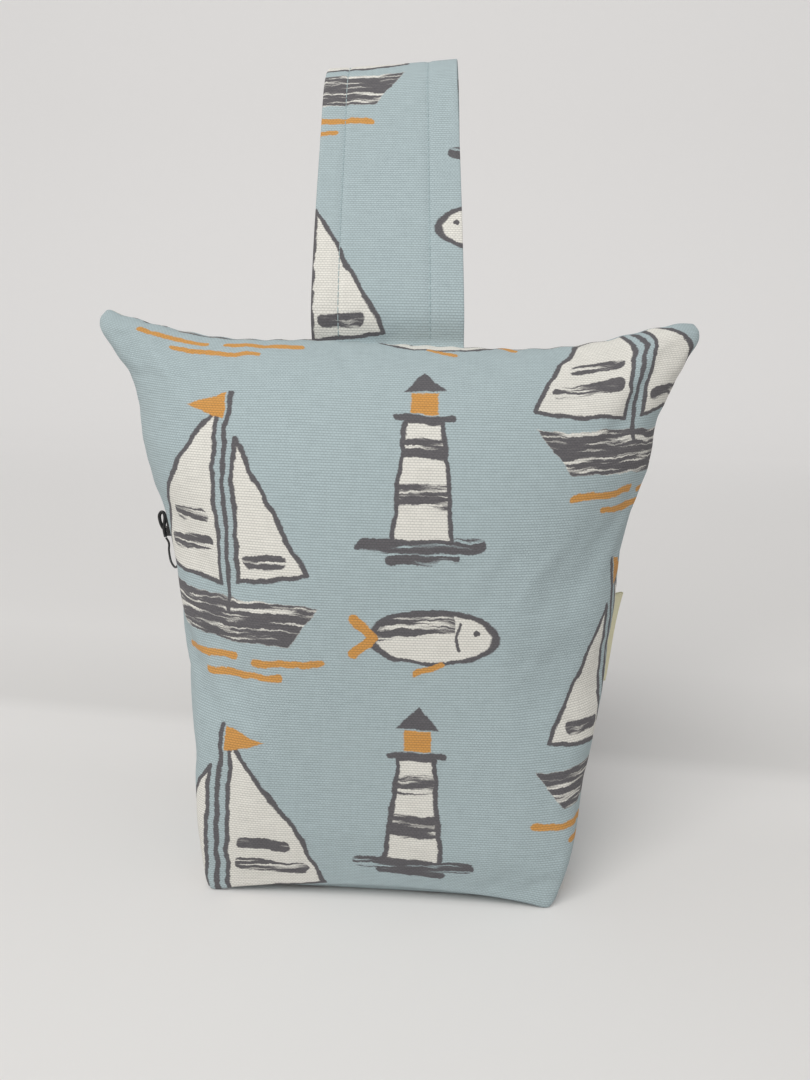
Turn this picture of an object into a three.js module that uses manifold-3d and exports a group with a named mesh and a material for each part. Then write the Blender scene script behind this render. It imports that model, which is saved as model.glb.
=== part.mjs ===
// Weighted fabric door stop: a sewn and stuffed bag with a boxed flat base, two pointed ears along its top
// seam, a wide carrying strap caught in that seam, a folded side label and a small tag pin.
// Millimetres, +Z up, front towards -Y, origin in the middle of the base.
import * as THREE from 'three';
import { mergeVertices } from 'three/addons/utils/BufferGeometryUtils.js';
import Module from 'manifold-3d';

// Bag: both panels are cut this wide, and the gusset is what the two sewn-off corners take from them.
const panelWidth = 250;
const gussetDepth = 110;
const seamHeight = 225;
const earRise = 15;
const earTipRadius = 4;
const bellyDepth = 106;
const bellyHeight = 105;
const baseEdgeRadius = 4;
const seamAllowance = 10;
const closedSeamThickness = 3.2;

// Carrying strap: a flat band bent into a loop that leans back from the seam.
const strapWidth = 62;
const strapThickness = 2.4;
const strapOffset = -5;
const loopHeight = 143;
const loopGap = 17;
const strapLean = THREE.MathUtils.degToRad(29);
const strapTwist = THREE.MathUtils.degToRad(-6);

// Side label: a thin ribbon folded in half, its cut ends caught in the right side seam.
const labelLength = 43;
const labelReach = 17;
const labelThickness = 0.45;
const labelFoldRadius = 0.6;
const labelHeight = 97;
const labelCaught = 7;
const labelStandOff = THREE.MathUtils.degToRad(47);

// Tag pin: bent wire through the left side seam, with a looped head of thicker wire and a clamp block.
const pinHeight = 134;
const pinForward = 4;
const pinWireDiameter = 0.8;
const pinHeadDiameter = 1.1;
const clampWidth = 2;
const clampHeight = 4.4;
const clampThickness = 1.6;

// Every piece stays this far from its neighbour.
const clearance = 0.3;

// Mesh fineness.
const ringPoints = 60;
const sideRings = 32;
const edgeRings = 4;
const wireSides = 8;

const baseWidth = panelWidth - gussetDepth;
const wasm = await Module();
wasm.setup();

const mix = THREE.MathUtils.lerp;

// Smooth curve through [position, value] stations.
function through(stations) {
  const points = stations.map(([at, value]) => new THREE.Vector2(at, value));
  const slope = points.map((point, i) => {
    const before = points[Math.max(i - 1, 0)];
    const after = points[Math.min(i + 1, points.length - 1)];
    return (after.y - before.y) / (after.x - before.x);
  });
  return (at) => {
    let i = 0;
    while (i < points.length - 2 && at > points[i + 1].x) i += 1;
    const step = points[i + 1].x - points[i].x;
    const t = THREE.MathUtils.clamp((at - points[i].x) / step, 0, 1);
    const smooth = t * t * (3 - 2 * t);
    const rise = (t ** 3 - 2 * t ** 2 + t) * slope[i] + (t ** 3 - t ** 2) * slope[i + 1];
    return mix(points[i].y, points[i + 1].y, smooth) + step * rise;
  };
}

// The bag's shape, by the share t of the way from its base to its top seam.
const earTipStart = 1 - earTipRadius / seamHeight;
const widthShare = through([
  [0, 0], [0.1, 0.16], [0.18, 0.21], [0.35, 0.32], [0.52, 0.4], [0.72, 0.57], [0.82, 0.68], [0.88, 0.725],
  [0.93, 0.8], [0.96, 0.9], [earTipStart, 1],
]);
const squareness = through([[0, 28], [0.1, 16], [0.3, 6], [0.55, 3], [0.85, 2.1], [1, 1.9]]);

// The ears' tips are turned out round, not to a sharp point.
function halfWidth(t) {
  const overTip = THREE.MathUtils.clamp((t - earTipStart) / (1 - earTipStart), 0, 1);
  const rounded = earTipRadius * (1 - Math.sqrt(1 - overTip ** 2));
  return mix(baseWidth, panelWidth, widthShare(t)) / 2 - rounded;
}

// Nearly upright to the belly, then a full crown that closes on the seam.
const crownShoulder = 3.4;
const crownRoundness = 2.1;

function halfDepth(t) {
  const bellyShare = bellyHeight / seamHeight;
  if (t < bellyShare) return mix(gussetDepth, bellyDepth, t / bellyShare) / 2;
  const over = Math.min((t - bellyShare) / (1 - bellyShare), 1);
  const crown = (1 - over ** crownShoulder) ** (1 / crownRoundness);
  return mix(closedSeamThickness, bellyDepth, crown) / 2;
}

// The stuffing lifts both ends of the seam, and hardly lifts the cloth below them.
const earSweep = 3.1;
const earFade = 18;

function liftOf(x, t) {
  const outward = Math.min(Math.abs(x) / (panelWidth / 2), 1);
  return earRise * outward ** earSweep * t ** earFade;
}

function halfWidthAtHeight(height) {
  return halfWidth(height / seamHeight);
}

function ring(t, inset, height) {
  const power = squareness(t);
  return Array.from({ length: ringPoints }, (_, i) => {
    const angle = (2 * Math.PI * i) / ringPoints;
    const across = Math.cos(angle);
    const along = Math.sin(angle);
    const scale = (Math.abs(across) ** power + Math.abs(along) ** power) ** (-1 / power);
    const x = (halfWidth(t) - inset) * across * scale;
    const y = (halfDepth(t) - inset) * along * scale;
    return [x, y, height + liftOf(x, t)];
  });
}

// Skins a stack of equal rings and closes both ends straight across.
function loft(rings) {
  const count = rings[0].length;
  const positions = rings.flat(2);
  const faces = [];
  for (let level = 0; level < rings.length - 1; level += 1) {
    for (let i = 0; i < count; i += 1) {
      const next = (i + 1) % count;
      const low = level * count;
      const high = low + count;
      faces.push(low + i, low + next, high + next, low + i, high + next, high + i);
    }
  }
  const top = (rings.length - 1) * count;
  for (let i = 0; i < count / 2; i += 1) {
    const a = i;
    const b = i + 1;
    const c = (count - i - 1) % count;
    const d = (count - i) % count;
    faces.push(c, b, a, top + a, top + b, top + c);
    if (d !== a) faces.push(d, c, a, top + a, top + c, top + d);
  }
  const geometry = new THREE.BufferGeometry();
  geometry.setAttribute('position', new THREE.Float32BufferAttribute(positions, 3));
  geometry.setIndex(faces.filter((_, k) => !isFlat(faces, k)));
  return geometry;
}

// A face that names one corner twice has no area and is left out.
function isFlat(faces, k) {
  const start = k - (k % 3);
  const [a, b, c] = faces.slice(start, start + 3);
  return a === b || b === c || c === a;
}

function solidOf(geometry) {
  const bare = geometry.clone();
  bare.deleteAttribute('normal');
  bare.deleteAttribute('uv');
  const merged = mergeVertices(bare, 1e-4);
  const mesh = new wasm.Mesh({
    numProp: 3,
    vertProperties: new Float32Array(merged.attributes.position.array),
    triVerts: new Uint32Array(merged.index.array),
  });
  return new wasm.Manifold(mesh);
}

function geometryOf(solid) {
  const { vertProperties, triVerts } = solid.getMesh();
  const geometry = new THREE.BufferGeometry();
  geometry.setAttribute('position', new THREE.BufferAttribute(new Float32Array(vertProperties), 3));
  geometry.setIndex(new THREE.BufferAttribute(new Uint32Array(triVerts), 1));
  const flat = geometry.toNonIndexed();
  flat.computeVertexNormals();
  return flat;
}

// Flat band with rounded edges swept along a flat curve, its width always along "across".
function band(curve, across, width, thickness, steps) {
  curve.computeFrenetFrames = (segments) => {
    const tangents = Array.from({ length: segments + 1 }, (_, i) => curve.getTangentAt(i / segments));
    const normals = tangents.map(() => across.clone());
    const binormals = tangents.map((tangent) => tangent.clone().cross(across).normalize());
    return { tangents, normals, binormals };
  };
  const straight = (width - thickness) / 2;
  const section = new THREE.Shape();
  section.absarc(straight, 0, thickness / 2, -Math.PI / 2, Math.PI / 2, false);
  section.absarc(-straight, 0, thickness / 2, Math.PI / 2, (3 * Math.PI) / 2, false);
  return new THREE.ExtrudeGeometry(section, { steps, curveSegments: 4, extrudePath: curve });
}

function wire(curve, diameter, steps) {
  const section = new THREE.Shape();
  section.absarc(0, 0, diameter / 2, 0, 2 * Math.PI, false);
  const curveSegments = wireSides / 2;
  return new THREE.ExtrudeGeometry(section, { steps, curveSegments, extrudePath: curve });
}

// Stuffed body: base, rounded bottom edge, then the sides up to the closed seam.
function bagGeometry() {
  const rings = [];
  for (let k = 0; k < edgeRings; k += 1) {
    const angle = (k / edgeRings) * (Math.PI / 2);
    const inset = baseEdgeRadius * (1 - Math.sin(angle));
    rings.push(ring(0, inset, baseEdgeRadius * (1 - Math.cos(angle))));
  }
  const first = baseEdgeRadius / seamHeight;
  for (let k = 0; k <= sideRings; k += 1) {
    const share = k / sideRings;
    const t = mix(first, 1, 1 - (1 - share) ** 1.8);
    rings.push(ring(t, 0, t * seamHeight));
  }
  return loft(rings);
}

// Strap: both legs leave the seam back to back, bow apart and close in a round bend.
const legOffset = (strapThickness + clearance) / 2;

function strapCurve() {
  const gap = (loopGap + strapThickness) / 2;
  const frontLeg = [
    [-seamAllowance, legOffset],
    [-seamAllowance / 2, legOffset],
    [seamAllowance / 2, legOffset],
    [loopHeight * 0.32, gap * 0.62],
    [loopHeight * 0.66, gap],
    [loopHeight * 0.9, gap * 0.8],
  ];
  const top = [[loopHeight, 0]];
  const backLeg = frontLeg.map(([up, out]) => [up, -out]).reverse();
  const points = [...frontLeg, ...top, ...backLeg].map(([up, out]) => new THREE.Vector3(0, -out, up));
  return new THREE.CatmullRomCurve3(points, false, 'centripetal');
}

function placeStrap(geometry) {
  const spots = geometry.attributes.position;
  const spot = new THREE.Vector3();
  const upward = new THREE.Vector3(0, 0, 1);
  for (let i = 0; i < spots.count; i += 1) {
    spot.fromBufferAttribute(spots, i);
    const share = Math.max(spot.z, 0) / loopHeight;
    spot.applyAxisAngle(upward, strapTwist * share ** 2);
    spots.setXYZ(i, spot.x, spot.y, spot.z);
  }
  geometry.rotateX(-strapLean);
  geometry.translate(strapOffset, 0, seamHeight);
  return geometry;
}

function strapGeometry() {
  const across = new THREE.Vector3(1, 0, 0);
  return placeStrap(band(strapCurve(), across, strapWidth, strapThickness, 64));
}

// Slot between the seam's two cloth edges that holds both ends of the strap.
function strapPocket() {
  const width = strapWidth + 2 * clearance;
  const thickness = 2 * (legOffset + strapThickness / 2 + clearance);
  const depth = seamAllowance + clearance;
  const slot = new THREE.BoxGeometry(width, thickness, 2 * depth);
  return placeStrap(slot);
}

// Label: out from the side seam, round its fold and back again, standing on the slope of the seam.
function labelCurve(more) {
  const reach = labelReach - labelFoldRadius;
  const points = [[-labelCaught - more, -labelFoldRadius], [reach, -labelFoldRadius]];
  for (let k = 1; k < 6; k += 1) {
    const angle = (k / 6) * Math.PI - Math.PI / 2;
    points.push([reach + labelFoldRadius * Math.cos(angle), labelFoldRadius * Math.sin(angle)]);
  }
  points.push([reach, labelFoldRadius], [-labelCaught - more, labelFoldRadius]);
  const path = new THREE.CurvePath();
  const spots = points.map(([out, side]) => new THREE.Vector3(side, out, 0));
  for (let i = 1; i < spots.length; i += 1) path.add(new THREE.LineCurve3(spots[i - 1], spots[i]));
  return path;
}

function labelGeometry(grow) {
  const across = new THREE.Vector3(0, 0, 1);
  const length = labelLength + 2 * grow;
  const geometry = band(labelCurve(grow), across, length, labelThickness + 2 * grow, 48);
  const low = halfWidthAtHeight(labelHeight - labelLength / 2);
  const high = halfWidthAtHeight(labelHeight + labelLength / 2);
  geometry.rotateZ(-labelStandOff);
  geometry.rotateY(Math.atan2(high - low, labelLength));
  geometry.translate((low + high) / 2, 0, labelHeight);
  return geometry;
}

// Points given as [outward from the side seam, up from the pin's entry, forward].
function pinCurve(points) {
  const seam = halfWidthAtHeight(pinHeight);
  const spots = points.map(([out, up, forward]) => {
    return new THREE.Vector3(-seam - out, -pinForward - forward, pinHeight + up);
  });
  return new THREE.CatmullRomCurve3(spots, false, 'centripetal');
}

const pinWireEnd = [6, 7.6, 0.4];

function pinWireGeometry(grow) {
  const route = [
    [-5.3 - 0.64 * grow, 5 + 0.77 * grow, 0],
    [-3.3, 2.6, 0],
    [-1.4, -1, 0],
    [0.7, -3.8, 0],
    [3.3, -2.2, 0.1],
    [4.4, 2.3, 0.2],
    [4.7, 5.1, 0.3],
    pinWireEnd,
  ];
  return wire(pinCurve(route), pinWireDiameter + 2 * grow, 40);
}

function pinHeadSolid() {
  const [endOut, endUp, endForward] = pinWireEnd;
  const start = [endOut + 0.2, endUp + clearance + 0.1, endForward];
  const loop = [
    start,
    [6.5, 11.6, 0.9],
    [6, 16.2, 0.6],
    [6.4, 18.5, 0.4],
    [7.5, 18.9, 0.3],
    [8.5, 17.3, 0.2],
    [8.1, 14.1, 0.2],
    [6.9, 11.6, 0.2],
    [4.7, 10.8, 0.4],
  ];
  const link = [[6.2, 18.2, 0.5], [5, 15.5, 0.5], [4.5, 12.2, 0.5]];
  const seam = halfWidthAtHeight(pinHeight);
  const clamp = new THREE.BoxGeometry(clampWidth, clampThickness, clampHeight);
  clamp.translate(-seam - 4.2, -pinForward - 0.6, pinHeight + 10.8);
  const strands = [loop, link].map((points) => solidOf(wire(pinCurve(points), pinHeadDiameter, 28)));
  return strands[0].add(strands[1]).add(solidOf(clamp));
}

function named(name, geometry, material) {
  const mesh = new THREE.Mesh(geometry, new THREE.MeshStandardMaterial(material));
  mesh.name = name;
  return mesh;
}

// The strap, the label and the pin each have a close pocket in the bag, one clearance larger all round.
const pockets = [strapPocket(), labelGeometry(clearance), pinWireGeometry(clearance)];
const bag = pockets.reduce((solid, pocket) => solid.subtract(solidOf(pocket)), solidOf(bagGeometry()));

const printedCotton = { color: 0xaabfc4, roughness: 0.92, metalness: 0 };
const creamRibbon = { color: 0xd8d2b4, roughness: 0.85, metalness: 0 };
const blackWire = { color: 0x16171a, roughness: 0.4, metalness: 0.3 };

const doorStop = new THREE.Group();
doorStop.add(
  named('stuffed_body', geometryOf(bag), printedCotton),
  named('handle_strap', strapGeometry(), printedCotton),
  named('side_label', labelGeometry(0), creamRibbon),
  named('tag_pin_wire', pinWireGeometry(0), blackWire),
  named('tag_pin_head', geometryOf(pinHeadSolid()), blackWire),
);

export default doorStop;
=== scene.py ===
import math

import bpy
import numpy as np
from mathutils import Matrix, Vector


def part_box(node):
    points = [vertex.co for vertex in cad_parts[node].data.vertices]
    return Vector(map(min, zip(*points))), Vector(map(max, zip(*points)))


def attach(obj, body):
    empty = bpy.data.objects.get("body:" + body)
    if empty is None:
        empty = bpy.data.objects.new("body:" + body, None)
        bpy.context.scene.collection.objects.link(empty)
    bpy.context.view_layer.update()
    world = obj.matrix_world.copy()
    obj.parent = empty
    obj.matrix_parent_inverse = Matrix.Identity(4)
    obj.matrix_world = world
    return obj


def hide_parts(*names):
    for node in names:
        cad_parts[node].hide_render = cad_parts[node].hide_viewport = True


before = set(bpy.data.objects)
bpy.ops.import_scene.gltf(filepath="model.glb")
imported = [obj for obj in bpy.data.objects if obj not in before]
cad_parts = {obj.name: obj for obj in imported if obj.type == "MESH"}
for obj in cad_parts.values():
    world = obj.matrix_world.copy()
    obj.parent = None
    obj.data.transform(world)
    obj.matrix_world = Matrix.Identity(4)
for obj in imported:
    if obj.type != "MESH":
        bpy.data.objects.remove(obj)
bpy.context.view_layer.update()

# Sewn cotton bag.
# Two panels of heavy printed cotton, sewn together at the sides and along the top. Their lower corners are
# sewn off across, which boxes the base. Sand and fibre filling hold it taut and settle the base.
MM = 0.001
bag_low, bag_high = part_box("stuffed_body")
PANEL_WIDTH = round((bag_high.x - bag_low.x) / MM)
BASE_DEPTH = round((bag_high.y - bag_low.y) / MM)
SEAM_HEIGHT = 225
EAR_RISE = 15
EAR_TIP_RADIUS = 4
BASE_WIDTH = PANEL_WIDTH - BASE_DEPTH
BELLY_DEPTH = 106
BELLY_HEIGHT = 105
PANEL_LENGTH = 262
BASE_EDGE_ARCH = 6.3
BACK_EDGE_ARCH = 0.6
ARCH_REACH = 26
ARCH_FULLNESS = 0.7
FLAT_BESIDE_CORNER = 4
TURNED_UNDER = 6.0
UNDER_CLOSES_OVER = 2.5
BASE_TWIST = math.radians(-2.0)
TWIST_TOP = 110
SEAM_GROOVE = 1.1
THREAD_GRID = 2.7
BACK_PRINT_SHIFT = (317.0, 143.0)


def through(stations, at):
    """Smooth curve through (position, value) stations."""
    x, y = np.array(stations, float).T
    slope = np.empty_like(y)
    slope[1:-1] = (y[2:] - y[:-2]) / (x[2:] - x[:-2])
    slope[[0, -1]] = (y[1] - y[0]) / (x[1] - x[0]), (y[-1] - y[-2]) / (x[-1] - x[-2])
    at = np.clip(at, x[0], x[-1])
    i = np.clip(np.searchsorted(x, at) - 1, 0, len(x) - 2)
    step = x[i + 1] - x[i]
    t = (at - x[i]) / step
    rise = (t**3 - 2 * t**2 + t) * slope[i] + (t**3 - t**2) * slope[i + 1]
    return y[i] + (y[i + 1] - y[i]) * t * t * (3 - 2 * t) + step * rise


# The bag's outline, as stations over the share t of the seam's height: how far it has widened from the base
# to the full panel, and how square its level is, from a box at the base to a lens at the seam.
WIDENING = [(0, 0.03), (0.1, 0.14), (0.2, 0.19), (0.27, 0.24), (0.35, 0.31), (0.52, 0.41), (0.72, 0.57),
            (0.82, 0.68), (0.88, 0.725), (0.93, 0.8), (0.96, 0.9)]
SQUARENESS = [(0, 50), (0.1, 18), (0.3, 6), (0.55, 3), (0.85, 2.1), (1, 1.9)]
CROWN_START = 3.4
CROWN_ROUND = 2.1


def half_width(t):
    tip_start = 1 - EAR_TIP_RADIUS / SEAM_HEIGHT
    share = through(WIDENING + [(tip_start, 1)], t)
    over_tip = np.clip((t - tip_start) / (1 - tip_start), 0, 1)
    rounded = EAR_TIP_RADIUS * (1 - np.sqrt(1 - over_tip**2))
    return (BASE_WIDTH + (PANEL_WIDTH - BASE_WIDTH) * share) / 2 - rounded


def half_depth(t):
    belly_share = BELLY_HEIGHT / SEAM_HEIGHT
    below = (BASE_DEPTH + (BELLY_DEPTH - BASE_DEPTH) * t / belly_share) / 2
    over = np.clip((t - belly_share) / (1 - belly_share), 0, 1)
    return np.where(t < belly_share, below, BELLY_DEPTH / 2 * (1 - over**CROWN_START) ** (1 / CROWN_ROUND))


# Hand filling leaves the two sides and the top seam a little uneven, in millimetres from an even bag.
LEFT_FULLNESS = [(0, 3), (0.08, 1.5), (0.2, 2), (0.28, 0.2), (0.39, -1.1), (0.47, -1), (0.63, -1.5),
                 (0.69, -0.9), (0.74, 0.8), (0.78, 1.2), (0.84, 0.8), (0.93, -0.4), (0.95, 0.8), (0.98, 1.6),
                 (1, 1)]
RIGHT_FULLNESS = [(0, 0), (0.12, 1), (0.3, 1.6), (0.42, 1.9), (0.54, 1.8), (0.62, -0.1), (0.68, -0.6),
                  (0.74, 0.4), (0.79, 1.1), (0.86, 0), (0.91, 1.8), (0.94, 1.9), (0.97, 0.6), (1, 0.4)]
TOP_FULLNESS = [(-1, 0), (-0.85, 0), (-0.6, -0.2), (-0.45, 0.9), (-0.3, 2.1), (0, 1.2), (0.23, 0.2),
                (0.45, -1.1), (0.6, -1.1), (0.72, -0.3), (0.81, 0.5), (0.9, 0), (1, -2.4)]
# Powers that keep the ears' rise to the sides and the top, and the seam's unevenness to the top.
EAR_ACROSS, EAR_UP, SEAM_UP = 3.1, 18, 8


def settled(points, t, arch):
    """Lifts the ears, arches the lower edge and adds the uneven fullness of a bag that was filled by hand."""
    x, y, z = points.T
    side = x / (PANEL_WIDTH / 2)
    ears = EAR_RISE * np.clip(np.abs(side), 0, 1) ** EAR_ACROSS * t**EAR_UP
    z = z + ears + through(TOP_FULLNESS, side) * t**SEAM_UP
    middle = np.clip(1 - (x / (BASE_WIDTH / 2 - FLAT_BESIDE_CORNER)) ** 2, 0, 1) ** ARCH_FULLNESS
    z = z + BASE_EDGE_ARCH * arch * middle * np.clip(1 - t * SEAM_HEIGHT / ARCH_REACH, 0, 1) ** 2
    right = through(RIGHT_FULLNESS, t) * np.clip(side, 0, 1) ** 2
    left = through(LEFT_FULLNESS, t) * np.clip(-side, 0, 1) ** 2
    width_share = float(half_width(t)) / (PANEL_WIDTH / 2)
    return np.stack([x + (right - left) / max(width_share, 0.5) ** 2, y, z], 1)


def half_ring(t, cloth_x):
    """Places on the front half of one level of the bag, for threads counted from the panel's middle."""
    angle = np.linspace(0, np.pi / 2, 400)
    power = float(through(SQUARENESS, t))
    scale = (np.cos(angle) ** power + np.sin(angle) ** power) ** (-1 / power)
    x = float(half_width(t)) * np.cos(angle) * scale
    y = float(half_depth(t)) * np.sin(angle) * scale
    run = np.concatenate([[0], np.cumsum(np.hypot(np.diff(x), np.diff(y)))])
    from_side = (PANEL_WIDTH / 2 - np.abs(cloth_x)) / (PANEL_WIDTH / 2) * run[-1]
    x, y = np.interp(from_side, run, x) * np.sign(cloth_x), np.interp(from_side, run, y)
    return np.stack([x, -y, np.full_like(x, t * SEAM_HEIGHT)], 1)


def graded(low, high, near_seam):
    """Evenly spaced threads that close up at the high end, where a seam runs."""
    even = np.linspace(low, high - near_seam[0], max(2, round((high - low - near_seam[0]) / THREAD_GRID)))
    return np.concatenate([even, high - np.array(near_seam[1:]), [high]])


gusset = graded(0, BASE_DEPTH / 2, [3.4, 2, 0.9])
middle = np.linspace(-BASE_WIDTH / 2, BASE_WIDTH / 2, round(BASE_WIDTH / THREAD_GRID))
cloth_x = np.concatenate([-(BASE_WIDTH / 2 + gusset[::-1]), middle[1:-1], BASE_WIDTH / 2 + gusset])
cloth_z = graded(0, PANEL_LENGTH, [3.6, 2.4, 1.4, 0.6])
fine_t = np.linspace(0, 1, 4000)
fine_steps = np.hypot(np.diff(half_depth(fine_t)), np.diff(fine_t) * SEAM_HEIGHT)
profile_run = np.concatenate([[0], np.cumsum(fine_steps)])
levels = np.interp(cloth_z / PANEL_LENGTH * profile_run[-1], profile_run, fine_t)
rings = np.array([half_ring(t, cloth_x) for t in levels])
front = np.array([settled(ring, t, 1.0) for ring, t in zip(rings, levels)])
back = np.array([settled(ring * [1, -1, 1], t, BACK_EDGE_ARCH) for ring, t in zip(rings, levels)])

# The two panels share their places along the side seams and the top seam. The back's print is another stretch
# of the same cloth.
rows, columns = len(levels), len(cloth_x)
front_id = np.arange(rows * columns).reshape(rows, columns)
back_id = front_id.copy()
inner = (slice(0, rows - 1), slice(1, columns - 1))
back_id[inner] = rows * columns + np.arange((rows - 1) * (columns - 2)).reshape(rows - 1, columns - 2)
verts = list(front.reshape(-1, 3)) + list(back[inner].reshape(-1, 3))
faces = []
face_cloth = []
for row in range(rows - 1):
    for column in range(columns - 1):
        corners = [(column, row), (column + 1, row), (column + 1, row + 1), (column, row + 1)]
        faces.append([front_id[b, a] for a, b in corners])
        face_cloth.append([(cloth_x[a], cloth_z[b]) for a, b in corners])
        faces.append([back_id[b, a] for a, b in corners[::-1]])
        face_cloth.append([(BACK_PRINT_SHIFT[0] - cloth_x[a], BACK_PRINT_SHIFT[1] + cloth_z[b])
                           for a, b in corners[::-1]])

# The base is the lower end of both panels, turned under and sewn along its middle. Its threads meet those of
# the sewn-off corners one by one. Just inside its arched edge the cloth drops to the floor.
deep = len(gusset)
base_id = np.full((2 * deep - 1, columns - 2 * (deep - 1)), -1)
for k in range(2 * deep - 1):
    panel = front_id if k < deep else back_id
    step = abs(deep - 1 - k)
    for m in range(base_id.shape[1]):
        i = deep - 1 + m
        if step == deep - 1:
            base_id[k, m] = panel[0, i]
        elif m == 0:
            base_id[k, m] = panel[0, step]
        elif m == base_id.shape[1] - 1:
            base_id[k, m] = panel[0, columns - 1 - step]
        else:
            end = verts[panel[0, columns - 1 - step]]
            rim = verts[panel[0, i]]
            across = cloth_x[i] / (BASE_WIDTH / 2)
            inward = abs(end[1]) / (BASE_DEPTH / 2)
            under = BASE_DEPTH / 2 - abs(end[1])
            lift = rim[2] * min(max((TURNED_UNDER - under) / UNDER_CLOSES_OVER, 0), 1)
            base_id[k, m] = len(verts)
            verts.append(np.array([end[0] * across, rim[1] * inward, lift]))
for k in range(2 * deep - 2):
    for m in range(base_id.shape[1] - 1):
        faces.append([base_id[b, a] for a, b in ((m, k), (m, k + 1), (m + 1, k + 1), (m + 1, k))])
        face_cloth.append([(verts[v][0], -BASE_DEPTH / 2 - verts[v][1]) for v in faces[-1]])


def piece_from(name, points, faces, cloth=None):
    """Smooth mesh piece from places in millimetres, with its cloth places as a map."""
    mesh = bpy.data.meshes.new(name)
    places = [tuple(point) for point in np.asarray(points, float) * MM]
    mesh.from_pydata(places, [], [list(map(int, face)) for face in faces])
    if cloth is not None:
        layer = mesh.uv_layers.new(name="cloth")
        flat = np.array([spot for face in cloth for spot in face], np.float32) * MM
        layer.uv.foreach_set("vector", flat.ravel())
    mesh.validate()
    mesh.shade_smooth()
    piece = bpy.data.objects.new(name, mesh)
    bpy.context.collection.objects.link(piece)
    return piece


# The filled base stands slightly askew under the top seam.
verts = np.array(verts)
askew = BASE_TWIST * np.clip(1 - verts[:, 2] / TWIST_TOP, 0, 1) ** 1.5
verts[:, 0], verts[:, 1] = (verts[:, 0] * np.cos(askew) - verts[:, 1] * np.sin(askew),
                            verts[:, 0] * np.sin(askew) + verts[:, 1] * np.cos(askew))
bag = piece_from("bag_cover", verts, faces, face_cloth)

# Seams draw the cloth in along a fine line and pucker it beside the line. Soft dents run down from both ears,
# each given by its two ends on the panel, its width and its depth.
GROOVE_WIDTH = 1.1
FAR_FROM_SEAM = 99.0
DENTS = [((112, 244), (84, 192), 7, 2.4), ((-112, 244), (-92, 196), 7, 1.0),
         ((96, 246), (60, 222), 9, 0.8), ((-98, 248), (-62, 226), 9, 0.7)]
from_side_seam = np.full(len(verts), FAR_FROM_SEAM)
from_top_seam = np.full(len(verts), FAR_FROM_SEAM)
from_corner_seam = np.full(len(verts), FAR_FROM_SEAM)
up_panel = np.zeros(len(verts))
for ids in (front_id, back_id):
    from_side_seam[ids] = PANEL_WIDTH / 2 - np.abs(cloth_x)[None, :]
    from_top_seam[ids] = (PANEL_LENGTH - cloth_z)[:, None]
    up_panel[ids] = cloth_z[:, None]
    past_corner = np.abs(cloth_x) > BASE_WIDTH / 2
    from_corner_seam[ids[:, past_corner]] = cloth_z[:, None]
spots = verts.copy()
normals = np.zeros(len(verts) * 3, np.float32)
bag.data.vertex_normals.foreach_get("vector", normals)
normals = normals.reshape(-1, 3)


def puckers(along, from_seam, height, wave, swing, drift, reach):
    """Small waves along a seam, of uneven length, that die away beside it."""
    turn = along / wave * 2 * np.pi + swing * np.sin(along / drift)
    return height * np.sin(turn) * np.exp(-from_seam / reach)


nearest_seam = np.minimum(np.minimum(from_side_seam, from_top_seam), from_corner_seam)
moved = -SEAM_GROOVE * np.exp(-nearest_seam / GROOVE_WIDTH)
moved += puckers(up_panel, from_side_seam, height=0.25, wave=9.5, swing=1.3, drift=17, reach=7)
moved += puckers(spots[:, 0], from_top_seam, height=0.6, wave=11, swing=1.6, drift=23, reach=6)
facing = np.zeros(len(verts), bool)
facing[front_id] = True
across_panel = np.zeros(len(verts))
across_panel[front_id] = np.broadcast_to(cloth_x, front_id.shape)
for (x0, z0), (x1, z1), wide, depth in DENTS:
    run = np.array([x1 - x0, z1 - z0], float)
    share = np.clip(((across_panel - x0) * run[0] + (up_panel - z0) * run[1]) / (run @ run), 0, 1)
    near = np.hypot(across_panel - x0 - run[0] * share, up_panel - z0 - run[1] * share)
    fade = np.sin(np.pi * share) ** 0.5
    moved -= np.where(facing, depth * fade * np.exp(-((near / wide) ** 2)), 0)
spots += normals * moved[:, None]


def move_to(piece, places):
    piece.data.vertices.foreach_set("co", (places * MM).astype(np.float32).ravel())
    piece.data.update()


move_to(bag, spots)

# A short cloth simulation lets the filling round the cover out and crease it softly beside its seams and its
# turned-under edge, which are held.
SIM_STEPS = 14
MOST_MOVED = 2.5
HELD_BESIDE_SEAM = 6


def filling_pressed(piece, held):
    """How far the filling moves each place of a sewn cover, in millimetres, where the seams hold it."""
    sewn = piece.vertex_groups.new(name="sewn")
    for share in np.unique(held.round(2)):
        sewn.add(np.flatnonzero(held.round(2) == share).tolist(), float(share), "REPLACE")
    cloth = piece.modifiers.new("cloth", "CLOTH")
    cloth.settings.quality = 6
    cloth.settings.mass = 0.4
    cloth.settings.tension_stiffness = 40
    cloth.settings.compression_stiffness = 40
    cloth.settings.shear_stiffness = 15
    cloth.settings.bending_stiffness = 0.6
    cloth.settings.use_pressure = True
    cloth.settings.uniform_pressure_force = 5
    cloth.settings.shrink_min = -0.004
    cloth.settings.vertex_group_mass = sewn.name
    cloth.settings.effector_weights.gravity = 0
    cloth.point_cache.frame_end = SIM_STEPS
    for step in range(1, SIM_STEPS + 1):
        bpy.context.scene.frame_set(step)
    pressed = piece.evaluated_get(bpy.context.evaluated_depsgraph_get()).data
    after = np.zeros(len(piece.data.vertices) * 3, np.float32)
    pressed.vertices.foreach_get("co", after)
    before = np.zeros_like(after)
    piece.data.vertices.foreach_get("co", before)
    piece.modifiers.remove(cloth)
    piece.vertex_groups.remove(sewn)
    bpy.context.scene.frame_set(1)
    return (after - before).reshape(-1, 3) / MM


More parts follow.
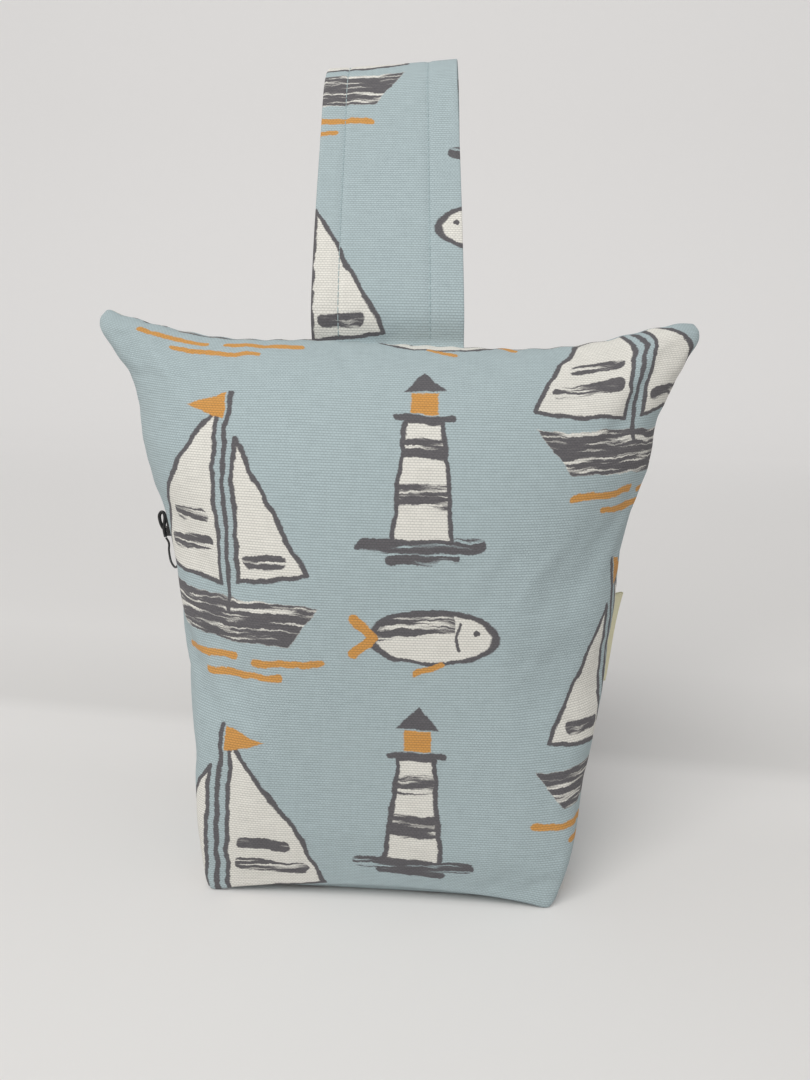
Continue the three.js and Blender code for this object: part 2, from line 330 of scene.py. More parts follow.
from_held = np.minimum(np.minimum(from_side_seam, from_top_seam), up_panel)
held = np.clip(1.15 - from_held / HELD_BESIDE_SEAM, 0, 1)
moves = filling_pressed(bag, held)
far = np.linalg.norm(moves, axis=1)
spots += moves * (MOST_MOVED / np.maximum(far, MOST_MOVED))[:, None]
move_to(bag, spots)
finer = bag.modifiers.new("finer", "SUBSURF")
finer.levels = 1
bpy.context.view_layer.objects.active = bag
bpy.ops.object.modifier_apply(modifier=finer.name)


def connect(tree, slot, value):
    if isinstance(value, Level):
        tree.links.new(value.socket, slot)
    else:
        slot.default_value = value


class Level:
    """A number or vector on its way through a material's nodes."""

    def __init__(self, tree, socket):
        self.tree = tree
        self.socket = socket

    def maths(self, operation, *others, clamp=False):
        node = self.tree.nodes.new("ShaderNodeMath")
        node.operation = operation
        node.use_clamp = clamp
        for slot, value in zip(node.inputs, (self, *others)):
            connect(self.tree, slot, value)
        return Level(self.tree, node.outputs[0])

    def vector(self, operation, *others, out=0):
        node = self.tree.nodes.new("ShaderNodeVectorMath")
        node.operation = operation
        for slot, value in zip(node.inputs, (self, *others)):
            connect(self.tree, slot, value)
        return Level(self.tree, node.outputs[out])

    def __add__(self, other):
        return self.maths("ADD", other)

    def __sub__(self, other):
        return self.maths("SUBTRACT", other)

    def __mul__(self, other):
        return self.maths("MULTIPLY", other)

    def most(self, other):
        return self.maths("MAXIMUM", other)

    def least(self, other):
        return self.maths("MINIMUM", other)


def parts_of(tree, vector):
    node = tree.nodes.new("ShaderNodeSeparateXYZ")
    connect(tree, node.inputs[0], vector)
    return Level(tree, node.outputs[0]), Level(tree, node.outputs[1])


def vector_of(tree, x, y):
    node = tree.nodes.new("ShaderNodeCombineXYZ")
    for slot, value in zip(node.inputs, (x, y)):
        connect(tree, slot, value)
    return Level(tree, node.outputs[0])


def noise(tree, vector, scale, detail=2.0, colour=False):
    node = tree.nodes.new("ShaderNodeTexNoise")
    node.inputs["Scale"].default_value = scale
    node.inputs["Detail"].default_value = detail
    connect(tree, node.inputs["Vector"], vector)
    return Level(tree, node.outputs["Color" if colour else "Fac"])


def blended(tree, amount, first, second):
    node = tree.nodes.new("ShaderNodeMix")
    node.data_type = "RGBA"
    connect(tree, node.inputs["Factor"], amount)
    connect(tree, node.inputs[6], first)
    connect(tree, node.inputs[7], second)
    return Level(tree, node.outputs[2])


def scaled(colour, amount):
    """The colour times a number."""
    node = colour.tree.nodes.new("ShaderNodeVectorMath")
    node.operation = "SCALE"
    connect(colour.tree, node.inputs[0], colour)
    connect(colour.tree, node.inputs["Scale"], amount)
    return Level(colour.tree, node.outputs[0])


def printed(distance, soft=0.35):
    """1 inside a printed shape, 0 outside, with a slightly soft edge, in millimetres."""
    return distance.maths("MULTIPLY_ADD", -1 / soft, 0.5, clamp=True)


def stroke(at, start, end, half):
    """Distance from a straight brush stroke."""
    run = np.array(end, float) - np.array(start, float)
    length = float(run @ run)
    from_start = at.vector("SUBTRACT", (*start, 0.0))
    share = from_start.vector("DOT_PRODUCT", (run[0] / length, run[1] / length, 0.0), out=1)
    share = share.maths("ADD", 0.0, clamp=True)
    nearest = vector_of(at.tree, share * float(run[0]), share * float(run[1]))
    return from_start.vector("DISTANCE", nearest, out=1) - half


def strokes(at, points, half):
    found = None
    for start, end in zip(points, points[1:]):
        one = stroke(at, start, end, half)
        found = one if found is None else found.least(one)
    return found


def patch(at, corners):
    """Distance from a filled shape with straight sides, its corners listed anticlockwise."""
    found = None
    for (x0, y0), (x1, y1) in zip(corners, corners[1:] + corners[:1]):
        length = math.hypot(x1 - x0, y1 - y0)
        out_x, out_y = (y1 - y0) / length, (x0 - x1) / length
        side = at.vector("DOT_PRODUCT", (out_x, out_y, 0.0), out=1) - (out_x * x0 + out_y * y0)
        found = side if found is None else found.most(side)
    return found


def oval(at, centre, radii):
    from_centre = at.vector("SUBTRACT", (*centre, 0.0))
    share = from_centre.vector("DIVIDE", (*radii, 1.0)).vector("LENGTH", out=1)
    return (share - 1.0) * min(radii)


OUTLINE_HALF = 0.8


def sailing_boat(at, brush):
    """White, dark and ochre parts of a small sailing boat, 65 mm wide before it is scaled."""
    main_sail = [(3, 14), (34, 17), (27, 38), (3, 72)]
    jib = [(-27, 19), (-4, 15), (-4, 62)]
    white = printed(patch(at, main_sail)).most(printed(patch(at, jib)))
    outline = strokes(at, main_sail + main_sail[:1], OUTLINE_HALF)
    outline = outline.least(strokes(at, jib + jib[:1], OUTLINE_HALF))
    dark = printed(outline.least(stroke(at, (-0.5, 6), (-0.5, 77), 0.9)))
    bars = stroke(at, (8, 27), (26, 25), 2.6).least(stroke(at, (8, 36), (21, 35), 2.2))
    bars = bars.least(stroke(at, (-19, 23), (-8, 22), 2.2))
    hull = patch(at, [(-21, -5), (23, -4), (34, 11), (-31, 9)])
    dark = dark.most(printed(bars) * brush).most(printed(hull) * brush)
    white = white.most(printed(hull))
    ochre = printed(patch(at, [(1, 68), (14, 73), (1, 77)]))
    water = stroke(at, (-31, -10), (-9, -11), 1.2).least(stroke(at, (-2, -10), (22, -11.5), 1.2))
    water = water.least(stroke(at, (-18, -15.5), (9, -16), 1.2))
    return white, dark, ochre.most(printed(water))


def small_fish(at, brush):
    """White, dark and ochre parts of a fish, 54 mm long before it is scaled."""
    body = oval(at, (0, 0), (23, 10.5))
    white = printed(body)
    dark = printed(body.maths("ABSOLUTE") - OUTLINE_HALF)
    over_back = body.most(patch(at, [(-8, 2), (24, -2), (24, 14), (-8, 14)]))
    dark = dark.most(printed(over_back) * brush)
    dark = dark.most(printed(oval(at, (-16, 2), (1.3, 1.3))))
    dark = dark.most(printed(strokes(at, [(-10, 6), (-8.5, 0), (-10, -5)], 0.6)))
    tail = stroke(at, (22, 0), (29, 7.5), 1.9).least(stroke(at, (22, 0), (29, -7.5), 1.9))
    fins = tail.least(stroke(at, (-3, -11), (6, -15), 1.3))
    return white, dark, printed(fins)


def lighthouse(at, brush):
    """White, dark and ochre parts of a lighthouse, 65 mm tall before it is scaled."""
    tower = [(-9, -24), (9, -24), (5.5, 14), (-5.5, 14)]
    white = printed(patch(at, tower))
    low_band = patch(at, [(-8, -14), (8, -14), (7.5, -6), (-7.5, -6)])
    high_band = patch(at, [(-6.5, 2), (6.5, 2), (6, 9), (-6, 9)])
    bands = low_band.least(high_band)
    dark = printed(strokes(at, tower + tower[:1], OUTLINE_HALF)).most(printed(bands) * brush)
    dark = dark.most(printed(stroke(at, (-8.5, 15.5), (8.5, 15.5), 1.1)))
    dark = dark.most(printed(patch(at, [(-6.5, 25), (6.5, 25), (0, 33)])))
    rocks = stroke(at, (-17, -25), (17, -26), 2.6).least(stroke(at, (-10, -29), (9, -30), 1.8))
    dark = dark.most(printed(rocks) * brush)
    lamp = printed(patch(at, [(-4, 17), (4, 17), (4, 24.5), (-4, 24.5)]))
    return white, dark, lamp


REPEAT_WIDTH = 164.0
REPEAT_HEIGHT = 140.0
PRINT_START = (112.0, 46.0)
# Each motif's place in the repeat and its scale.
MOTIFS = [(sailing_boat, (46.0, 27.0), 1.26), (small_fish, (129.0, 27.0), 1.05),
          (lighthouse, (124.0, 96.0), 1.25)]
# How a drawn edge wavers, coarse to fine: scale of the noise, its detail, and millimetres of shift.
EDGE_WAVERS = [(0.085, 2.0, 4.2), (0.4, 2.0, 0.9), (1.1, 1.0, 0.8)]
BRUSH_STRETCH = (0.035, 0.5, 0.0)
RIB_PITCH = 1.05
THREAD_PITCH = 1.4
DUCK_EGG = (0.4, 0.482, 0.503, 1)
OFF_WHITE = (0.74, 0.725, 0.675, 1)
CHARCOAL = (0.118, 0.113, 0.121, 1)
OCHRE = (0.6, 0.3, 0.085, 1)


def coastal_print(tree, cloth, height):
    """Colour of the print for a place on the cloth in millimetres: motifs in a half-drop repeat. Ink misses
    low spots of the weave here and there."""
    at = cloth
    for scale, detail, shift in EDGE_WAVERS:
        waver = noise(tree, cloth, scale, detail, colour=True).vector("SUBTRACT", (0.5, 0.5, 0.5))
        at = at.vector("ADD", waver.vector("MULTIPLY", (shift, shift, 0.0)))
    u, v = parts_of(tree, at)
    u = u + PRINT_START[0]
    column = u.maths("DIVIDE", REPEAT_WIDTH).maths("FLOOR")
    drop = column.maths("FLOORED_MODULO", 2.0) * (REPEAT_HEIGHT / 2)
    v = v + drop + PRINT_START[1]
    row = v.maths("DIVIDE", REPEAT_HEIGHT).maths("FLOOR")
    turned = (row + column).maths("FLOORED_MODULO", 2.0).maths("MULTIPLY_ADD", -2.0, 1.0)
    in_u = u.maths("FLOORED_MODULO", REPEAT_WIDTH)
    in_v = v.maths("FLOORED_MODULO", REPEAT_HEIGHT)
    brush = noise(tree, at.vector("MULTIPLY", BRUSH_STRETCH), 1.0, 3.0)
    brush = brush.maths("MULTIPLY_ADD", 12.0, -4.7, clamp=True)
    layers = [None, None, None]
    for draw, (x, y), size in MOTIFS:
        local = vector_of(tree, (in_u - x) * turned * (1 / size), (in_v - y) * (1 / size))
        for k, part in enumerate(draw(local, brush)):
            layers[k] = part if layers[k] is None else layers[k].most(part)
    patchy = noise(tree, cloth, 0.6, 2.0) * 0.7
    ink = (height + patchy).maths("MULTIPLY_ADD", 2.2, -0.35, clamp=True)
    colour = blended(tree, layers[0], DUCK_EGG, OFF_WHITE)
    colour = blended(tree, layers[1] * (ink * 0.45 + 0.55), colour, CHARCOAL)
    return blended(tree, layers[2] * (ink * 0.35 + 0.65), colour, OCHRE)


RIB_ROUND = 0.6
THREAD_ROUND = 0.7


def weave(tree, cloth, rib, thread):
    """Height of the cloth's face from 0 to 1: rounded ribs across, crossed by split, offset threads."""
    u, v = parts_of(tree, cloth)
    row = v.maths("DIVIDE", rib).maths("FLOOR")
    ribs = (v * (math.pi / rib)).maths("SINE").maths("ABSOLUTE")
    shift = row.maths("FLOORED_MODULO", 2.0) * (math.pi / 2)
    threads = (u * (math.pi / thread) + shift).maths("SINE").maths("ABSOLUTE")
    split = (u * (2 * math.pi / thread) + shift * 2).maths("SINE").maths("ABSOLUTE") * 0.12
    return ribs.maths("POWER", RIB_ROUND) * (threads.maths("POWER", THREAD_ROUND) * 0.5 + split + 0.38)


def thread_shades(tree, cloth, rib, thread):
    """Slight light and dark of single threads, as slubby yarn has."""
    along = cloth.vector("MULTIPLY", (0.12, 1 / rib, 0.0))
    up = cloth.vector("MULTIPLY", (1 / thread, 0.1, 0.0))
    across = noise(tree, along, 1.0, 1.0) - 0.5
    upward = noise(tree, up, 1.0, 1.0) - 0.5
    return across * 0.2 + upward * 0.1


def cloth_places(tree):
    """Places on the flat cloth in millimetres."""
    flat = tree.nodes.new("ShaderNodeUVMap")
    flat.uv_map = "cloth"
    return Level(tree, flat.outputs[0]).vector("MULTIPLY", (1 / MM, 1 / MM, 0.0))


def printed_cotton():
    """Matt half-panama cotton, with the print on its face. Its colour is painted lighter on the weave's high
    spots and darker in its low spots, as light and shade.
    """
    material = bpy.data.materials.new("printed_cotton")
    material.use_nodes = True
    tree = material.node_tree
    shader = tree.nodes["Principled BSDF"]
    cloth = cloth_places(tree)
    height = weave(tree, cloth, RIB_PITCH, THREAD_PITCH)
    yarn_tone = thread_shades(tree, cloth, RIB_PITCH, THREAD_PITCH)
    # Painted light and shade: the weave's high spots lighter and its low spots darker, with the yarn's own
    # uneven tone.
    light = height * 0.5 + yarn_tone + 0.7
    connect(tree, shader.inputs["Base Color"], scaled(coastal_print(tree, cloth, height), light))
    shader.inputs["Roughness"].default_value = 0.92
    shader.inputs["Specular IOR Level"].default_value = 0.15
    shader.inputs["Sheen Weight"].default_value = 0.08
    shader.inputs["Sheen Roughness"].default_value = 0.6
    bump = tree.nodes.new("ShaderNodeBump")
    bump.inputs["Distance"].default_value = 0.16 * MM
    bump.inputs["Strength"].default_value = 0.8
    connect(tree, bump.inputs["Height"], height)
    tree.links.new(bump.outputs[0], shader.inputs["Normal"])
    return material


cotton = printed_cotton()
bag.data.materials.append(cotton)
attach(bag, "root")
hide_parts("stuffed_body")

# Carrying strap.
# One strip of the same cotton, its long edges turned in and the strip folded in half to a flat band. Its two
# ends lie back to back, caught in the middle of the top seam, and the loop bulges there and leans back.
STRAP_WIDTH = 62
STRAP_THICKNESS = 2.4
STRAP_CLOTH = 0.54
STRAP_HEM = 12
STRAP_OFFSET = -5
LOOP_HEIGHT = 143
LOOP_GAP = 17
STRAP_LEAN = math.radians(29)
# Hand sewing leaves the strap twisted, wider at the seam than above, and a little aside both there and above.
STRAP_TWIST = math.radians(-6)
STRAP_SPREAD = 1.035
STRAP_NARROWED = 0.06
STRAP_SHIFT_LOW = 0.9
STRAP_SHIFT_UP = -2.55
STRAP_CAUGHT = 9
LEG_OFFSET = 1.35
STITCH_ROWS = (-20.0, 17.0)
STITCH_DIP = 0.42
STRAP_SLACK = 0.3
STRAP_PRINT_SHIFT = (20.0, 60.0)


def smooth_path(points, count):
    """Evenly spaced places on a smooth curve through a few points, and how far along each is."""
    points = np.array(points, float)
    gaps = np.linalg.norm(np.diff(points, axis=0), axis=1) ** 0.5
    knots = np.concatenate([[0], np.cumsum(gaps)])
    fine = np.linspace(0, knots[-1], 1200)
    curve = np.stack([through(np.stack([knots, points[:, k]], 1), fine) for k in range(points.shape[1])], 1)
    run = np.concatenate([[0], np.cumsum(np.linalg.norm(np.diff(curve, axis=0), axis=1))])
    even = np.linspace(0, run[-1], count)
    return np.stack([np.interp(even, run, curve[:, k]) for k in range(points.shape[1])], 1), even


def ways_along(path):
    way = np.gradient(path, axis=0)
    return way / np.linalg.norm(way, axis=1)[:, None]


gap = (LOOP_GAP + STRAP_THICKNESS) / 2
# Places along the loop, up from the seam and out to the front.
front_leg = [(-STRAP_CAUGHT, LEG_OFFSET), (-4, LEG_OFFSET), (1.5, LEG_OFFSET), (4.5, 4.2), (9, 8), (16, 10.2),
             (27, 11.3), (48, 12), (LOOP_HEIGHT * 0.66, gap), (LOOP_HEIGHT * 0.9, gap * 0.8)]
back_leg = [(LOOP_HEIGHT * 0.9, -gap * 0.8), (LOOP_HEIGHT * 0.66, -gap), (LOOP_HEIGHT * 0.32, -gap * 0.62),
            (5, -LEG_OFFSET), (-4, -LEG_OFFSET), (-STRAP_CAUGHT, -LEG_OFFSET)]
loop, loop_run = smooth_path(front_leg + [(LOOP_HEIGHT, 0)] + back_leg, 160)
loop_way = ways_along(loop)
outside = np.stack([-loop_way[:, 1], loop_way[:, 0]], 1)


def strap_place(across, step, lift):
    """Place on the strap: millimetres across it, a step along its loop, and out from its middle."""
    up, out = loop[step] + outside[step] * lift
    share = max(up, 0) / LOOP_HEIGHT
    turn = STRAP_TWIST * share**2
    across = across * (STRAP_SPREAD - STRAP_NARROWED * share)
    x = across * math.cos(turn) + out * math.sin(turn) + STRAP_SHIFT_LOW + STRAP_SHIFT_UP * share
    y = across * math.sin(turn) - out * math.cos(turn)
    lean_y = y * math.cos(STRAP_LEAN) + up * math.sin(STRAP_LEAN)
    lean_z = up * math.cos(STRAP_LEAN) - y * math.sin(STRAP_LEAN)
    return np.array([x + STRAP_OFFSET, lean_y, lean_z + SEAM_HEIGHT])


def fold_round(centre, radius, start, end):
    return [(centre[0] + radius * math.cos(a), centre[1] + radius * math.sin(a))
            for a in np.linspace(start, end, 8)]


def strap_fold():
    """Middle line of the folded strip, across and out: turned-in edge, front, fold, back, turned-in edge."""
    edge = STRAP_WIDTH / 2
    layer = STRAP_THICKNESS / 4
    face_lift = STRAP_THICKNESS / 2 - STRAP_CLOTH / 2
    hem_turn = (face_lift - layer / 2) / 2
    hem = [(x, layer / 2) for x in np.linspace(edge - STRAP_HEM, edge - 1, 6)]
    right_turn = fold_round((edge - 1, layer / 2 + hem_turn), hem_turn, -np.pi / 2, np.pi / 2)[1:]
    near_rows = [row + away for row in STITCH_ROWS for away in (-3, -1.8, -0.9, 0, 0.9, 1.8, 3)]
    across = np.unique(np.concatenate([np.linspace(-edge + 1.6, edge - 3, 20), near_rows]))[::-1]
    dips = [STITCH_DIP * sum(math.exp(-((x - row) / 1.3) ** 2) for row in STITCH_ROWS) for x in across]
    face = [(x, face_lift - dip) for x, dip in zip(across, dips)]
    left_turn = fold_round((-edge + face_lift + STRAP_CLOTH / 2, 0), face_lift, np.pi / 2, 1.5 * np.pi)
    upper = hem + right_turn + face + left_turn
    lower = [(x, -lift) for x, lift in (hem + right_turn + face)[::-1]]
    return np.array(upper + lower)


def cloth_outline(middle, thickness):
    """Both faces of a folded layer of cloth, and how far along the layer each place is."""
    way = ways_along(middle)
    half = np.stack([way[:, 1], -way[:, 0]], 1) * thickness / 2
    run = np.concatenate([[0], np.cumsum(np.linalg.norm(np.diff(middle, axis=0), axis=1))])
    return np.concatenate([middle + half, (middle - half)[::-1]]), np.concatenate([run, run[::-1]])


def cloth_along(place, outline, outline_run, lengths, shift=(0.0, 0.0)):
    """Folded cloth drawn along a length: its places, its faces with both ends closed, and its cloth map."""
    points = [place(across, lift, step) for step in range(len(lengths)) for across, lift in outline]
    around = len(outline)
    rings = [([(k, step), ((k + 1) % around, step), ((k + 1) % around, step + 1), (k, step + 1)])
             for step in range(len(lengths) - 1) for k in range(around)]
    for step, turn in ((0, 1), (len(lengths) - 1, -1)):
        rings += [[(k, step), (around - 1 - k, step), (around - 2 - k, step), (k + 1, step)][::turn]
                  for k in range(around // 2 - 1)]
    faces = [[step * around + k for k, step in ring] for ring in rings]
    cloth = [[(shift[0] + outline_run[k], shift[1] + lengths[step]) for k, step in ring] for ring in rings]
    return points, faces, cloth


def slack(across, step):
    """Slight waves of the cloth, out from the loop."""
    return STRAP_SLACK * math.sin(loop_run[step] / 31) * math.cos(across / 19)


def on_loop(across, lift, step):
    return strap_place(across, step, lift + slack(across, step))


strap_middle = strap_fold()
strap_outline, strap_outline_run = cloth_outline(strap_middle, STRAP_CLOTH)
strap_mesh = cloth_along(on_loop, strap_outline, strap_outline_run, loop_run, STRAP_PRINT_SHIFT)
strap = piece_from("carry_strap", *strap_mesh)
strap.data.materials.append(cotton)
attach(strap, "root")
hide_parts("handle_strap")

# Strap topstitching.
# Two lines of matching thread through the folded band. Each stitch is a short hump of thread that sinks into
# the cloth at both ends, and it shows on both faces.
STITCH_LENGTH = 2.5
STITCH_PITCH = 3.1
THREAD_RADIUS = 0.2


def tube_mesh(path, radius, sides):
    """Round strand along a list of places, with closed ends."""
    path = np.asarray(path, float)
    radius = np.broadcast_to(radius, len(path))
    guide = np.array([0.31, 0.9, 0.22])
    angles = np.linspace(0, 2 * np.pi, sides, endpoint=False)
    points = []
    for spot, way, size in zip(path, ways_along(path), radius):
        first = np.cross(way, guide)
        first /= np.linalg.norm(first)
        second = np.cross(way, first)
        points.append(spot + size * (np.cos(angles)[:, None] * first + np.sin(angles)[:, None] * second))
    last = (len(path) - 1) * sides
    faces = [[k + s, k + (s + 1) % sides, k + sides + (s + 1) % sides, k + sides + s]
             for k in range(0, last, sides) for s in range(sides)]
    faces.append(list(range(sides))[::-1])
    faces.append(list(range(last, last + sides)))
    return np.concatenate(points), faces


def joined(parts):
    points = np.concatenate([part_points for part_points, part_faces in parts])
    starts = np.cumsum([0] + [len(part_points) for part_points, part_faces in parts])
    faces = [[start + i for i in face] for start, (part_points, part_faces) in zip(starts, parts)
             for face in part_faces]
    return points, faces


def strap_stitch(row, start, face):
    path = []
    for share in np.linspace(0, 1, 6):
        step = np.interp(start + share * STITCH_LENGTH, loop_run, np.arange(len(loop_run)))
        low = int(step)
        lift = face * (STRAP_THICKNESS / 2 - STITCH_DIP + THREAD_RADIUS * (math.sin(math.pi * share) - 0.3))
        ends = [strap_place(row, low + k, lift + slack(row, low)) for k in (0, 1)]
        path.append(ends[0] * (1 - step + low) + ends[1] * (step - low))
    return tube_mesh(path, THREAD_RADIUS, sides=6)


out_of_seam = loop_run[loop[:, 0] > 1]
starts = np.arange(out_of_seam[0] + 1, out_of_seam[-1] - STITCH_PITCH, STITCH_PITCH)
stitches = [strap_stitch(row, start, face) for row in STITCH_ROWS for start in starts for face in (1, -1)]
stitching = piece_from("strap_topstitching", *joined(stitches))


def plain_thread(name, colour):
    """Spun sewing thread: matt, with a fine twist."""
    material = bpy.data.materials.new(name)
    material.use_nodes = True
    tree = material.node_tree
    shader = tree.nodes["Principled BSDF"]
    place = Level(tree, tree.nodes.new("ShaderNodeTexCoord").outputs["Object"])
    ply = noise(tree, place, 2600.0, 2.0)
    tint = blended(tree, ply, (*[c * 0.8 for c in colour], 1), (*[c * 1.12 for c in colour], 1))
    connect(tree, shader.inputs["Base Color"], tint)
    shader.inputs["Roughness"].default_value = 0.8
    bump = tree.nodes.new("ShaderNodeBump")
    bump.inputs["Distance"].default_value = 0.05 * MM
    connect(tree, bump.inputs["Height"], ply)
    tree.links.new(bump.outputs[0], shader.inputs["Normal"])
    return material


stitching.data.materials.append(plain_thread("matching_thread", (0.4, 0.5, 0.52)))
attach(stitching, "root")

# Side label.
# A cream woven ribbon folded in half, its cut ends caught in the right side seam. It leans back along the
# side, bare on both faces.
LABEL_LENGTH = 43
LABEL_REACH = 17
LABEL_HEIGHT = 97
LABEL_CAUGHT = 6
RIBBON_THICKNESS = 0.4
RIBBON_FOLD = 0.6
LABEL_STAND_OFF = math.radians(47)
LABEL_WAVE = 0.8
seam_low = float(half_width((LABEL_HEIGHT - LABEL_LENGTH / 2) / SEAM_HEIGHT))
seam_high = float(half_width((LABEL_HEIGHT + LABEL_LENGTH / 2) / SEAM_HEIGHT))
label_slope = math.atan2(seam_high - seam_low, LABEL_LENGTH)
folded = [(out, -RIBBON_FOLD) for out in np.linspace(-LABEL_CAUGHT, LABEL_REACH - RIBBON_FOLD, 22)[:-1]]
folded += [(LABEL_REACH - RIBBON_FOLD + RIBBON_FOLD * math.cos(a), RIBBON_FOLD * math.sin(a))
           for a in np.linspace(-np.pi / 2, np.pi / 2, 9)]
folded += [(out, RIBBON_FOLD) for out in np.linspace(LABEL_REACH - RIBBON_FOLD, -LABEL_CAUGHT, 22)[1:]]
ribbon_outline, ribbon_run = cloth_outline(np.array(folded), RIBBON_THICKNESS)
label_heights = np.linspace(-LABEL_LENGTH / 2, LABEL_LENGTH / 2, 30)


def on_side(out, side, step):
    """Place on the label: out from the seam, to the side of its middle, and a step up it."""
    height = label_heights[step]
    side = side + LABEL_WAVE * (max(out, 0) / LABEL_REACH) ** 2 * math.sin(height / 11 + 0.6)
    x = out * math.cos(LABEL_STAND_OFF) - side * math.sin(LABEL_STAND_OFF)
    y = out * math.sin(LABEL_STAND_OFF) + side * math.cos(LABEL_STAND_OFF)
    up = height * math.cos(label_slope) - x * math.sin(label_slope)
    x = x * math.cos(label_slope) + height * math.sin(label_slope)
    return [(seam_low + seam_high) / 2 + x, y, LABEL_HEIGHT + up]


label = piece_from("folded_label", *cloth_along(on_side, ribbon_outline, ribbon_run, label_heights))

RIBBON_WEFT = 0.34
RIBBON_WARP = 0.26
CREAM_DEEP = (0.76, 0.72, 0.49, 1)
CREAM_PALE = (0.82, 0.79, 0.57, 1)


def woven_ribbon():
    """Cream ribbon with a fine plain weave. Its colour is painted slightly lighter on the weave's high spots
    and darker in its low spots, as light and shade.
    """
    material = bpy.data.materials.new("cream_ribbon")
    material.use_nodes = True
    tree = material.node_tree
    shader = tree.nodes["Principled BSDF"]
    cloth = cloth_places(tree)
    height = weave(tree, cloth, RIBBON_WEFT, RIBBON_WARP)
    # Painted light and shade: the weave's high spots slightly lighter and its low spots darker, with the
    # yarn's own uneven tone.
    light = height * 0.12 + thread_shades(tree, cloth, RIBBON_WEFT, RIBBON_WARP) * 0.6 + 0.93
    colour = blended(tree, noise(tree, cloth, 0.12, 2.0), CREAM_DEEP, CREAM_PALE)
    connect(tree, shader.inputs["Base Color"], scaled(colour, light))
    shader.inputs["Roughness"].default_value = 0.7
    shader.inputs["Specular IOR Level"].default_value = 0.3
    bump = tree.nodes.new("ShaderNodeBump")
    bump.inputs["Distance"].default_value = 0.05 * MM
    connect(tree, bump.inputs["Height"], height)
    tree.links.new(bump.outputs[0], shader.inputs["Normal"])
    return material


label.data.materials.append(woven_ribbon())
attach(label, "root")
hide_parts("side_label")

# Pin.
# A small black safety pin of the kind that holds a hang tag, bent from springy wire. It is pushed in and out
# through the cloth near the left side seam, and a small pressed clamp holds the loops of its head.
PIN_HEIGHT = 134
PIN_FORWARD = 4
PIN_INWARD = 0.9
PIN_WIRE = 0.92
PIN_STRAND = 1.5
PIN_SIDES = 14
CLAMP_SIZE = np.array([2.6, 1.9, 4.6])
entry = np.array([-float(half_width(PIN_HEIGHT / SEAM_HEIGHT)), -PIN_FORWARD, PIN_HEIGHT])


def pin_place(out, up, forward):
    """Place outward from the side seam, up from the entry, and forward."""
    return entry + np.array([PIN_INWARD - out, -forward, up])


def pin_path(points, count):
    """Smooth wire through a few such places."""
    return smooth_path([pin_place(*point) for point in points], count)[0]


wire_points = [(-5.3, 5, 5), (-3.2, 1.6, 9), (-1.4, -2.2, 9), (0.9, -4.3, 6), (3.5, -2.4, 3), (4.7, 1.9, 1.2),
               (4.8, 5.1, 0.5), (6, 7.6, 0.4)]
wire_path = pin_path(wire_points, 90)
taper = np.clip(np.linspace(0, 8, len(wire_path)), 0.25, 1)
wire = piece_from("pin_wire", *tube_mesh(wire_path, PIN_WIRE / 2 * taper, sides=PIN_SIDES))
head_points = [(6.2, 8.0, 0.4), (6.5, 11.6, 0.9), (6, 16.2, 0.6), (6.4, 18.5, 0.4), (7.5, 18.9, 0.3),
               (8.5, 17.3, 0.2), (8.1, 14.1, 0.2), (6.9, 11.6, 0.2), (4.7, 10.8, 0.4)]
link_points = [(6.2, 18.2, 0.5), (5, 15.5, 0.5), (4.5, 12.2, 0.5)]
head_parts = [tube_mesh(pin_path(head_points, 80), PIN_STRAND / 2, sides=PIN_SIDES),
              tube_mesh(pin_path(link_points, 24), PIN_STRAND / 2 * 0.9, sides=PIN_SIDES)]
head = piece_from("pin_head", *joined(head_parts))
clamp_middle = pin_place(4.2, 10.8, 0.6)
ways = np.array([(x, y, z) for z in (-1, 1) for x, y in ((-1, -1), (1, -1), (1, 1), (-1, 1))])
clamp_points = clamp_middle + ways * CLAMP_SIZE / 2
clamp_faces = [[3, 2, 1, 0], [4, 5, 6, 7], [0, 1, 5, 4], [1, 2, 6, 5], [2, 3, 7, 6], [3, 0, 4, 7]]
clamp = piece_from("pin_clamp", clamp_points, clamp_faces)
soft_edges = clamp.modifiers.new("soft_edges", "BEVEL")
soft_edges.width = 0.35 * MM
soft_edges.segments = 3


def black_enamel():
    """Black lacquer over steel, slightly worn to grey in scattered spots."""
    material = bpy.data.materials.new("black_enamel")
    material.use_nodes = True
    tree = material.node_tree
    shader = tree.nodes["Principled BSDF"]
    place = Level(tree, tree.nodes.new("ShaderNodeTexCoord").outputs["Object"])
    worn = noise(tree, place, 900.0, 3.0)
    colour = blended(tree, worn.maths("MULTIPLY_ADD", 6.0, -3.3, clamp=True), (0.012, 0.012, 0.013, 1),
                     (0.035, 0.035, 0.037, 1))
    connect(tree, shader.inputs["Base Color"], colour)
    connect(tree, shader.inputs["Roughness"], worn * 0.2 + 0.25)
    return material


enamel = black_enamel()
for piece, node in ((wire, "tag_pin_wire"), (head, "tag_pin_head")):
    piece.data.materials.append(enamel)
    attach(piece, "root")
    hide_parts(node)
clamp.data.materials.append(enamel)
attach(clamp, "root")

# Pale card sweep under and behind the door stop, for the picture only.
# One sheet lies flat, then curves up well behind, so that every side of the door stop can be looked at.
FLOOR_WIDTH = 9.0
FLOOR_FRONT = -4.0
CURVE_START = 1.4
CURVE_RADIUS = 0.8
SWEEP_TOP = 5.0
CARD_COLOUR = (0.72, 0.71, 0.7, 1)
# The camera sees the card glow a little: evenly, and more far behind. Over a slanting line behind the door
# stop the glow is less or more, a painted shade line and painted highlights that stand for a soft fold the
# flat card doesn't have. Each change has its strength, its start and its length in metres.
GLOW_COLOUR = (1, 0.985, 0.985, 1)
EVEN_GLOW = 0.09
FAR_GLOW = (0.15, 0.35, 1.0)
FOLD_SLANT = 0.145
PAINTED_FOLD_LIGHT_AND_SHADE = [(0.02, 0.02, 0.04), (-0.06, 0.085, 0.02), (0.07, 0.11, 0.13)]
